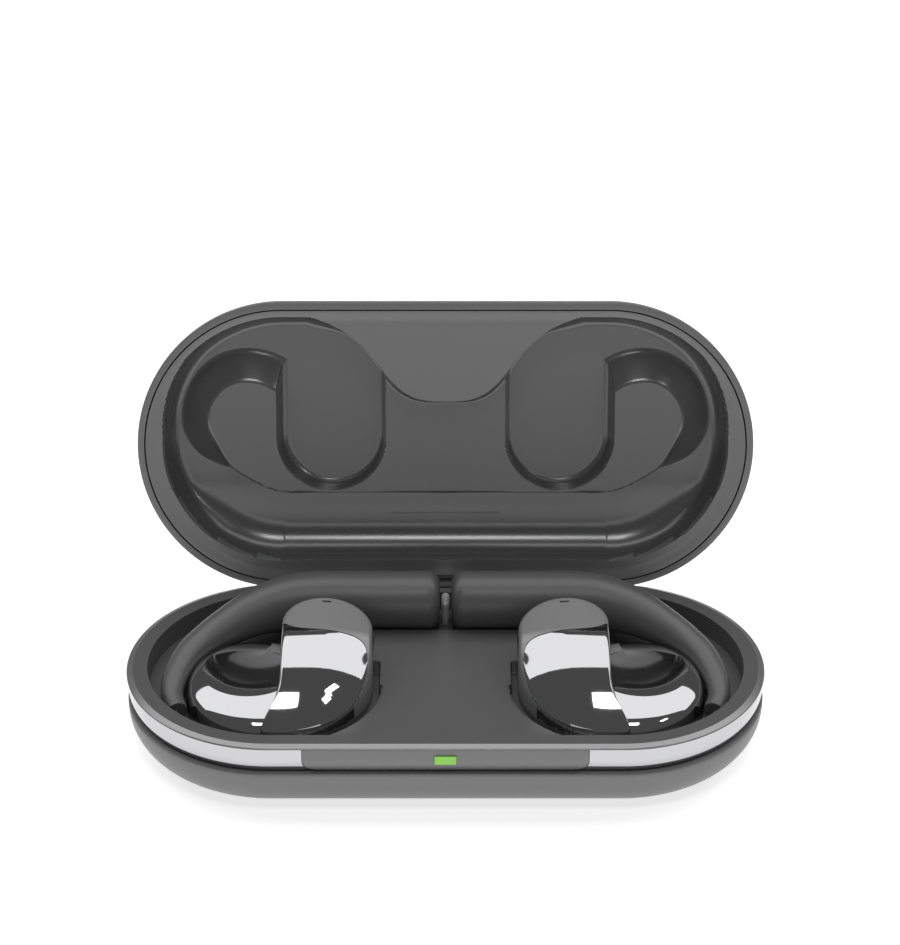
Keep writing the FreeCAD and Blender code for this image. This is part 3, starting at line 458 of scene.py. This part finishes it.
def make_tray():
    # the tray's relief, as heights over the lip: deck, recess, earbud pockets and rim
    x, y = stadium_grid(HALF_WIDTH - RIM_SPLIT, 150)
    big, inward = np.abs(x), edge_depth(x, y)
    floor, pocket_floor = -3.7, -6.9
    # the recess is deeper at the ends, and the deck rises a little towards the barrels
    cavity = floor - 2.3 * smooth_step((big - 36) / 6)
    deck = -1.5 + 0.022 * np.maximum(y + 2.0, 0.0) ** 1.3
    # pockets: straight inner side, then one wide arc round the front of both lobes
    back = np.where(big < 12.7, 1.8, 9.0) - y
    side = np.where(y > -5.0, big - POCKET_EDGE, 17.1 - np.hypot(big - 28.2, y + 5.0))
    lobe = ROUND_R + 0.7 - np.hypot(big - ROUND_X, y - ROUND_Y)
    in_pocket = np.maximum(np.minimum(side, np.minimum(back, 44.8 - big)), lobe)
    # the deck widens in front of the pockets
    half_deck = 16.0 + 15.0 * smooth_step((-8.0 - y) / 1.5)
    on_deck = np.minimum(np.minimum(11.5 - y, half_deck - big), 23.4 - np.abs(y))
    height = cavity + (deck - cavity) * smooth_step(on_deck / 0.5 + 0.5)
    sunk = np.minimum(height, pocket_floor)
    height = height + (sunk - height) * smooth_step(in_pocket / 0.5 + 0.5)
    # the rim drops into the recess in one steep wall; beside the deck it runs level with it
    rim = rim_height(inward)
    height = rim + (height - rim) * smooth_step((inward - 3.95) / 0.3)
    # a low pad between the barrels, under the button
    pad = np.minimum(1.6 - big, np.minimum(y - 11.0, 22.2 - y))
    height = np.maximum(height, floor + 0.4 * smooth_step(pad / 0.3))
    tray = relief("tray_surface", x, y, LIP_Z + height, LIP_Z + np.minimum(height - 1.0, -4.6))
    combine(tray, hinge_cutter(), "DIFFERENCE", sharp=60.0)
    combine(tray, prism(back_notch(12.5, 23.6), 0, LIP_Z + 1), "DIFFERENCE", sharp=60.0)
    return settle(tray, "case_base", "graphite_liner", LINER, "tray")


# the lid's relief, as depths into the lid; s runs from the hinge side to the front
PLANE, DEEP, CHANNEL = 4.5, 8.15, 7.9
VALLEY = np.array([(29.5, 33.5), (31.0, 35.4), (33.6, 36.6), (36.8, 36.8), (39.6, 35.6),
                   (41.6, 33.0), (42.2, 29.9), (41.3, 26.2), (38.2, 21.4), (31.7, 17.6),
                   (26.0, 16.9), (0.0, 16.9)])


def ramp(distance, *stops):
    # how far a face falls over a distance, from its lean in degrees at each stop
    fine = np.linspace(0.0, stops[-1][0], 400)
    lean = np.interp(fine, [d for d, _ in stops], [angle for _, angle in stops])
    fall = np.cumsum(np.tan(np.radians(lean))) * (fine[1] - fine[0])
    return np.interp(distance, fine, fall - fall[0])


def inside_outline(x, y, outline):
    # True where a point lies inside a closed outline
    inside = np.zeros(x.shape, bool)
    for (ax, ay), (bx, by) in zip(outline, outline[1:] + outline[:1]):
        if ay != by:
            crosses = (ay > y) != (by > y)
            inside ^= crosses & (x < (bx - ax) * (y - ay) / (by - ay) + ax)
    return inside


# the closed barrels' axis, as a distance from the hinge side, and the room round it
BARREL_AXIS, CLEAR = HALF_WIDTH - BARREL_Y, BARREL_R + 0.27


def recess_inset(big, s, inward):
    # distance inside the recess: a wide disc at each end, joined below the central plateau
    radius = 21.0 + np.where(s < 27.8, 1.7, 1.2) * np.clip(np.abs(s - 27.8) / 22.0, 0, 1)
    disc = radius - np.hypot(big - 29.4, s - 27.8)
    low = np.where(big < 29.4, s - 5.1, disc)
    share = np.clip(0.5 + 0.5 * (disc - 34.2 + s) / 7.0, 0, 1)
    joined = (34.2 - s) * (1 - share) + disc * share + 7.0 * share * (1 - share)
    high = np.where(big < 29.4, joined, disc)
    return np.minimum(np.where(s < 27.8, low, high), inward - 2.6)


def lid_relief(x, s):
    # depth of the lid's lining, s being the distance from the hinge side
    big, inward = np.abs(x), edge_depth(x, HALF_WIDTH - s)
    inset = recess_inset(big, s, inward)
    # a level field: the island inside the hook, and the middle of the lid
    path = spline(VALLEY, 90)
    run = np.full(x.shape, 1e9)
    for a, b in zip(path, path[1:]):
        run = np.minimum(run, segment_distance(big, s, a[0], a[1], b[0], b[1]))
    outline = [tuple(p) for p in path] + [(-1.0, 16.9), (-1.0, 45.0), (12.0, 45.0), (12.0, 33.5)]
    outside = np.where(inside_outline(big, s, outline), 0.0, run)
    # outside it the face falls away: steeply round the top of the hook, gently at the hinge side
    low_side = smooth_step((29.0 - s) / 11)
    steep = ramp(outside, (0, 12), (0.8, 35), (4.6, 38), (6.0, 0))
    gentle = ramp(outside, (0, 0), (0.05, 74.5), (1.1, 74.5), (1.15, 0))
    floor = DEEP + (CHANNEL - DEEP) * low_side
    inner = np.minimum(PLANE + steep * (1 - low_side) + gentle * low_side, floor)
    # the pocket over the upright lobe, open into the deep floor at the top
    # mouth and foot are distances inside the top and the bottom edge of its wall
    mouth = 9.9 - segment_distance(big, s, 20.6, 26.9, 20.6, 70.0)
    foot = 7.75 - segment_distance(big, s, 19.9, 26.8, 19.9, 70.0)
    wall_width = 2.2
    across = wall_width * mouth / np.maximum(mouth - foot, 0.1)
    hollow = ramp(across, (0, 40), (0.1, 76), (0.75, 76), (1.0, 40), (1.8, 25), (2.6, 0))
    hollow = PLANE + np.minimum(hollow, DEEP - PLANE)
    inner = np.where(mouth > 0, np.maximum(inner, hollow), inner)
    # the outer wall: steep, but round the closed barrels at the hinge side
    wide = smooth_step((18 - s) / 8)
    width = 3.0 - 1.8 * smooth_step((24 - big) / 8) * smooth_step((s - 27) / 4)
    rise = (1 - np.clip(1 - inset / width, 0, 1) ** 2.6) ** (1 / 2.6)
    rim = 0.1 + 0.3 * smooth_step((inward - 1.3) / 2.4)
    steep_wall = rim + (inner - rim) * rise
    beyond = np.clip(BARREL_AXIS - 5.1 - np.maximum(inset, 0), 0, CLEAR)
    easy_wall = (BARREL_Z - 0.3 + np.sqrt(CLEAR ** 2 - beyond ** 2)) * smooth_step(
        0.5 + np.maximum(inset, 0) / 0.3)
    wall = steep_wall * (1 - wide) + np.minimum(easy_wall, inner) * wide
    return np.where(inset > 0, np.maximum(wall, rim), rim)


def make_lid_liner():
    # the lining of the lid: a slab that follows the relief; painted shade darkens the recesses with a darker copy
    # of its satin, and the frame and plateau take a lighter copy, painted light
    x, y = stadium_grid(HALF_WIDTH - RIM_SPLIT, 190)
    depth = lid_relief(x, HALF_WIDTH - y)
    back = LID_LOW + np.maximum(depth + 0.4, np.minimum(8.9, 1.0 + 2.2 * (edge_depth(x, y) - 1.3)))
    liner = relief("lid_liner_surface", x, y, LID_LOW + depth, back)
    combine(liner, prism(back_notch(8.2, 23.7), 0, LIP_Z + 6.2), "DIFFERENCE", sharp=60.0)
    # the recessed faces take the darker copy: painted shade in the recesses
    middles = np.array([p.center[:2] for p in liner.data.polygons]) / MM
    inward = edge_depth(middles[:, 0], middles[:, 1])
    shaded_recess_faces = recess_inset(np.abs(middles[:, 0]), HALF_WIDTH - middles[:, 1], inward) > 0.05
    opened(liner)
    settle(liner, "lid", "graphite_liner", LID_LIT_LINER, "lid_liner")
    # second slot: the darker copy, painted shade for the recessed faces
    liner.data.materials.append(LID_SHADED_RECESS)
    liner.data.polygons.foreach_set("material_index", shaded_recess_faces.astype(np.int32))
    return liner


def make_hinge_tab():
    # the thin plate let into the bottom of the barrel channel
    half, front, back = 9.9, HALF_WIDTH - 12.3, HALF_WIDTH - 9.2
    corners = [(-half, front), (half, front), (half, back), (-half, back)]
    tab = prism(corners, LID_LOW + 7.62, LID_LOW + 8.2)
    tab.name = "hinge_tab"
    opened(tab)
    return settle(tab, "lid", "graphite_liner", LID_LIT_LINER, "lid_hinge_cover")


def make_lid_cover():
    # the lid's outer shell: its section from the middle of the top out to the edge and back
    outer, wall, turn, rise, top = HALF_WIDTH, 1.2, 8.8, 8.5, LID_LOW + LID_HEIGHT
    profile = [(0.4, top)] + arc(outer - turn, top - rise, turn, rise, 90, 0, 20)
    profile += [(outer, LID_LOW + 0.3), (outer - 0.08, LID_LOW + 0.08), (outer - 0.3, LID_LOW)]
    profile += [(outer - wall, LID_LOW)]
    profile += arc(outer - turn, top - rise, turn - wall, rise - wall, 0, 90, 14)
    profile += [(0.4, top - wall)]
    cover = sweep("lid_cover", profile, closed=False)
    cover.data.flip_normals()
    combine(cover, hinge_cutter(), "DIFFERENCE")
    opened(cover)
    return settle(cover, "lid", "graphite_shell", SHELL, "lid_shell")


# ------------------------------------------------------------------ earbuds, right one first

# the wide arc round the front of the earbud, and the ridge between its two lobes
FRONT_X, FRONT_Y, FRONT_R = 28.0, -4.6, 15.6
RIDGE_X = TALL_X + TALL_R


def ridge_top(y):
    # height of the ridge over the lip: level at the back, falling to the front
    t = np.clip((-1.5 - y) / 19.1, 0, 1)
    return 8.2 - 10.0 * t ** 2.2


def side_x(y):
    # the upright lobe's inner side: straight, then the wide front arc
    reach = np.sqrt(np.maximum(FRONT_R ** 2 - (y - FRONT_Y) ** 2, 0.0))
    return np.where(y > FRONT_Y, TALL_X - TALL_R, FRONT_X - reach)


def face_height(x, y):
    # the face falls away from the ridge to the inner side, most where the front arc begins
    drop = 1.75 + 2.35 * smooth_step((-1.5 - y) / 7.5)
    drop = drop * np.clip((y + 21.0) / 7.0, 0, 1) ** 0.8
    across = np.clip((RIDGE_X - x) / (RIDGE_X - side_x(np.maximum(y, -19.5))), 0, 1)
    return ridge_top(y) - drop * across ** 2.6


def tall_outline():
    # plan of the upright lobe: round back, straight inner side, wide front arc, curved ridge
    back = arc(TALL_X, TALL_BACK - TALL_R, TALL_R, TALL_R, 0, 180, 70)
    side = [(TALL_X - TALL_R, y) for y in np.linspace(0.0, FRONT_Y, 14)[1:-1]]
    front = arc(FRONT_X, FRONT_Y, FRONT_R, FRONT_R, 180, 277, 80)
    ridge = spline(np.array([(30.2, -20.0), (30.6, -19.2), (29.7, -17.6), (28.5, -15.6),
                             (27.75, -12.8), (27.7, -9.5), (27.75, -5.5), (27.75, 0.5)]), 60)
    return np.array(back + side + front + [tuple(p) for p in ridge[:-1]])


def tall_lobe():
    # rings between the outline and a curved spine, over the face, round the edge and down
    edge = tall_outline()
    spine = spline(np.array([(20.1, 0.5), (20.1, -3.0), (21.0, -7.0), (23.2, -11.0),
                             (25.8, -14.0)]), 60)
    nearest = np.argmin(np.hypot(edge[:, None, 0] - spine[None, :, 0],
                                 edge[:, None, 1] - spine[None, :, 1]), axis=1)
    core = spine[nearest]
    reach = np.hypot(*(edge - core).T)[:, None]
    roll, low = 0.75, BUD_LOW - LIP_Z
    rings = []

    def ring(inset, drop, height=None):
        part = core + (edge - core) * np.clip(1 - inset / reach, 0.004, 1)
        top = face_height(core[:, 0] + (edge - core)[:, 0] * np.clip(1 - inset / reach[:, 0], 0, 1),
                          part[:, 1])
        z = top - drop if height is None else np.full(len(edge), height)
        rings.append(np.column_stack([part, LIP_Z + z]))
    for inset in np.linspace(1.0, 0.0, 26)[1:-1]:
        share = core + (edge - core) * (1 - inset) * (1 - roll / reach)
        rings.append(np.column_stack([share, LIP_Z + face_height(share[:, 0], share[:, 1])]))
    for a in np.radians(np.linspace(0, 90, 8)):
        ring(roll * (1 - math.sin(a)), roll * (1 - math.cos(a)))
    for height in (-2.9, low + 2.0):
        ring(0.0, 0.0, height)
    for a in np.radians(np.linspace(15, 90, 6)):
        ring(2.0 * (1 - math.cos(a)), 0.0, low + 2.0 * (1 - math.sin(a)))
    rings.append(np.column_stack([core + (edge - core) * 0.01,
                                  np.full(len(edge), LIP_Z + low)]))
    first, last = nearest.min(), nearest.max()
    crest = np.column_stack([spine, LIP_Z + face_height(spine[:, 0], spine[:, 1])])
    return ring_stack("tall_lobe", rings, crest[first:last + 1], nearest - first)


def ring_stack(name, rings, spine=None, nearest=None):
    # rings joined in order; the first is closed flat, or onto a line of spine points
    size, used = len(rings[0]), len(rings) * len(rings[0])
    verts = np.concatenate(rings)
    faces = grid_faces(len(rings), size, around=True, flip=True)
    faces.append(tuple((len(rings) - 1) * size + j for j in range(size))[::-1])
    if spine is None:
        faces.append(tuple(range(size)))
    else:
        verts = np.concatenate([verts, spine])
        for j in range(size):
            k = (j + 1) % size
            start, end = int(nearest[j]), int(nearest[k])
            step = 1 if start >= end else -1
            faces.append((j, k, *(used + m for m in range(end, start + step, step))))
    piece = new_object(name, verts, faces)
    fix_normals(piece.data)
    return piece


def round_lobe():
    # a flat top set off centre, a shallow dome round it and a quick turn down to the side
    steps, flat_radius, foot_radius = 180, 8.0, 0.8
    top, low = LIP_Z + 1.5, BUD_LOW
    turn = np.linspace(0, 2 * math.pi, steps, endpoint=False)
    around = np.stack([np.cos(turn), np.sin(turn)], axis=1)
    middle, centre = np.array([ROUND_X, ROUND_Y]), np.array([ROUND_X + 2.2, ROUND_Y + 2.5])
    edge, flat = middle + ROUND_R * around, centre + flat_radius * around
    width = np.hypot(*(edge - flat).T)
    rings = [np.column_stack([centre + (flat - centre) * f, np.full(steps, top)])
             for f in (0.02, 0.5, 1.0)]
    # the dome leans 13 to 27 degrees as far as its shoulder, then up to 80 at the edge
    shoulder, height, before = 0.6, np.full(steps, top), 0.0
    shares = np.concatenate([np.linspace(0.03, shoulder, 14), shoulder + (1 - shoulder) * np.sin(
        np.radians(np.linspace(6, 90, 18)))])
    for share in shares:
        lean = np.interp(share, (0.0, shoulder, 1.0), (13.0, 27.0, 80.0))
        height = height - width * (share - before) * math.tan(math.radians(lean)) * 0.85
        before = share
        rings.append(np.column_stack([flat + (edge - flat) * share, height]))
    for a in np.radians(np.linspace(0, 90, 8)):
        part = middle + (edge - middle) * (1 - foot_radius * (1 - math.cos(a)) / ROUND_R)
        rings.append(np.column_stack([part, np.full(steps, low + foot_radius * (1 - math.sin(a)))]))
    rings.append(np.column_stack([middle + (edge - middle) * 0.02, np.full(steps, low)]))
    return ring_stack("round_lobe", rings)


def seam_outline():
    # plan of the matte cap: behind the slanting seam and along the inner side wall
    seam = spline(np.array([(30.0, 0.7), (27.9, -0.4), (26.0, -1.7), (23.8, -2.2), (20.4, -2.3),
                            (17.0, -2.7), (15.0, -3.2), (13.8, -4.1), (13.25, -5.6),
                            (13.2, -8.0), (14.0, -11.0), (15.4, -13.6)]), 80)
    return [tuple(p) for p in seam] + [(11, -14.0), (11, 12), (30, 12)]


def make_buds():
    # both lobes joined, then parted into lower housing, matte cap and polished outer shell
    outer = combine(tall_lobe(), round_lobe(), "UNION")
    split, over, seam_gap = LIP_Z - 2.6, LIP_Z + 12, 0.22
    cap_plan = seam_outline()
    everything = [(5, -30), (60, -30), (60, 30), (5, 30)]
    lower = copy_of(outer, "lower")
    combine(lower, prism(everything, 0, split - 0.04), "INTERSECT")
    # room in the underside for the grille and the two contacts
    underside = BUD_LOW + 1.2
    combine(lower, prism(circle(ROUND_X, ROUND_Y, 5.6), 0, underside), "DIFFERENCE")
    for step in (-1, 1):
        contact = circle(TALL_X + 2.2 * step, -1.5, 0.85, 32)
        combine(lower, prism(contact, 0, underside), "DIFFERENCE")
    cap = copy_of(outer, "cap")
    combine(cap, prism(cap_plan, split + 0.04, over), "INTERSECT")
    combine(cap, prism(pill(20.5, 6.47, 0.55, 0.27, 8), LIP_Z + 7.0, over), "DIFFERENCE")
    grown = [(x, y - seam_gap) if y < 0.5 else (x, y) for x, y in cap_plan]
    combine(outer, prism(everything, split, over), "INTERSECT")
    combine(outer, prism(grown, split - 1, over + 1), "DIFFERENCE")
    return {"outer_shell": (outer, "polished_metal", CHROME),
            "touch_cap": (cap, "matte_cap", CAP), "inner_housing": (lower, "matte_cap", SOFT)}


def tube(name, path, round_start=0.0):
    # a round tube along x, y, z, radius points, closed at both ends; its start can be rounded
    steps, points, radii = 72, path[:, :3], path[:, 3]
    ahead = np.gradient(points, axis=0)
    ahead /= np.linalg.norm(ahead, axis=1)[:, None]
    side = np.cross(ahead, [0.0, 0.0, 1.0])
    side /= np.linalg.norm(side, axis=1)[:, None]
    up = np.cross(side, ahead)
    turn = np.linspace(0, 2 * math.pi, steps, endpoint=False)
    rings = []

    def ring(i, radius, shift=0.0):
        rings.append(points[i] + ahead[i] * shift + radius * (
            np.cos(turn)[:, None] * side[i] + np.sin(turn)[:, None] * up[i]))
    if round_start:
        for a in np.radians(np.linspace(0, 80, 9)):
            ring(0, radii[0] - round_start * (1 - math.sin(a)), -round_start * math.cos(a))
    for i in range(len(points)):
        ring(i, radii[i])
    last = (len(rings) - 1) * steps
    faces = grid_faces(len(rings), steps, around=True)
    faces += [tuple(range(steps)), tuple(range(last, last + steps))[::-1]]
    piece = new_object(name, np.concatenate(rings), faces, sharp=50.0)
    fix_normals(piece.data)
    return piece


def make_hook():
    # the sleeve along the hook's centre line, and the straight barrel with its rounded nose
    path = spline(HOOK, 110)
    path[:, 2] += LIP_Z
    nose, count = 2.2, 14
    barrel = np.empty((count, 4))
    barrel[:, 0] = np.linspace(BARREL_END + nose, BARREL_SPLIT - 0.02, count)
    barrel[:, 1:] = BARREL_Y, LIP_Z + BARREL_Z, BARREL_R
    return {"hook_sleeve": (tube("sleeve", path), "soft_touch", SOFT),
            "battery_barrel": (tube("barrel", barrel, round_start=nose), "soft_touch", SOFT)}


def make_earbuds():
    # the right earbud's pieces, and their mirror images for the left one
    for name, (piece, slot, look) in {**make_buds(), **make_hook()}.items():
        piece.name = "right_%s_form" % name
        settle(mirror_copy(piece, "left_%s_form" % name), "left_earbud", slot, look,
               "left_" + name)
        settle(piece, "right_earbud", slot, look, "right_" + name)


def make_button():
    # a pill with a rounded top edge, as rings that draw in by an inset at each height
    middle, half, radius, low = 18.7, 1.3, 0.75, 8.6
    edge = np.array(pill(0, 0, half, radius, 16, sideways=False))
    top = corner("pairing_button", 1, 2)
    rings = []
    for inset, height in ((0.7, top), (0.45, top - 0.02), (0.25, top - 0.09), (0.08, top - 0.25),
                          (0.0, top - 0.5), (0.0, low), (0.7, low)):
        part = edge * (1 - inset / (radius + 0.01), 1 - inset / (half + radius + 0.05))
        rings.append(np.column_stack([part + (0, middle), np.full(len(edge), height)]))
    button = ring_stack("pairing_button_cap", rings)
    return settle(button, "button", "polished_metal", BUTTON_METAL, "pairing_button")


# ------------------------------------------------------------------ stage, lights, camera

def make_stage():
    bpy.ops.mesh.primitive_plane_add(size=6.0, location=(0, 0, -0.00002))
    floor = bpy.context.object
    floor.name = "floor"
    floor.data.materials.append(material("pale_floor", (0.93, 0.93, 0.93), 0.9,
                                         Emission_Color=(1, 1, 1, 1), Emission_Strength=0.62))


def softbox(name, place, target, width, depth, glow):
    # an area light given by its brightness, so that its size can change on its own
    lamp = bpy.data.lights.new(name, "AREA")
    lamp.shape = "RECTANGLE"
    lamp.size, lamp.size_y = width, depth
    lamp.energy = glow * math.pi * width * depth
    holder = bpy.data.objects.new(name, lamp)
    holder.location = place
    aim = Vector(target) - Vector(place)
    holder.rotation_euler = aim.to_track_quat("-Z", "Y").to_euler()
    bpy.context.scene.collection.objects.link(holder)


def make_lights():
    softbox("overhead", (0.0, 0.33, 0.8), (0.0, 0.1, 0.0), 2.6, 0.62, 1.75)
    softbox("front_strip", (0.0, -1.5, 0.36), (0.0, 0.0, 0.03), 2.6, 0.34, 0.9)
    softbox("key", (0.0, -0.37, 0.83), (0.0, 0.0, 0.03), 0.18, 0.16, 9.0)
    softbox("spark", (0.34, -0.2, 0.5), (0.0, 0.0, 0.01), 0.09, 0.07, 6.0)
    world = bpy.data.worlds.new("studio")
    world.use_nodes = True
    world.node_tree.nodes["Background"].inputs["Color"].default_value = (1, 1, 1, 1)
    world.node_tree.nodes["Background"].inputs["Strength"].default_value = 0.14
    bpy.context.scene.world = world
    bpy.context.scene.view_settings.view_transform = "Standard"


def make_camera():
    # from the front and above; distance, rise and pitch come from a fit to the case's outlines
    distance, rise, pitch = 457.4, math.radians(33.47), math.radians(29.42)
    lens = bpy.data.cameras.new("camera")
    lens.sensor_fit = "VERTICAL"
    lens.sensor_height = 36.0
    lens.lens = 101.3
    lens.shift_x = 0.00476
    lens.clip_start = 0.01
    holder = bpy.data.objects.new("camera", lens)
    holder.location = (0, -distance * math.cos(rise) * MM,
                       (LIP_Z + distance * math.sin(rise)) * MM)
    holder.rotation_euler = (math.pi / 2 - pitch, 0, 0)
    bpy.context.scene.collection.objects.link(holder)
    bpy.context.scene.camera = holder


dress_cad()
make_bowl()
make_band()
make_panel()
make_lip()
make_tray()
make_lid_liner()
make_hinge_tab()
make_lid_cover()
make_earbuds()
make_button()
make_stage()
make_lights()
make_camera()
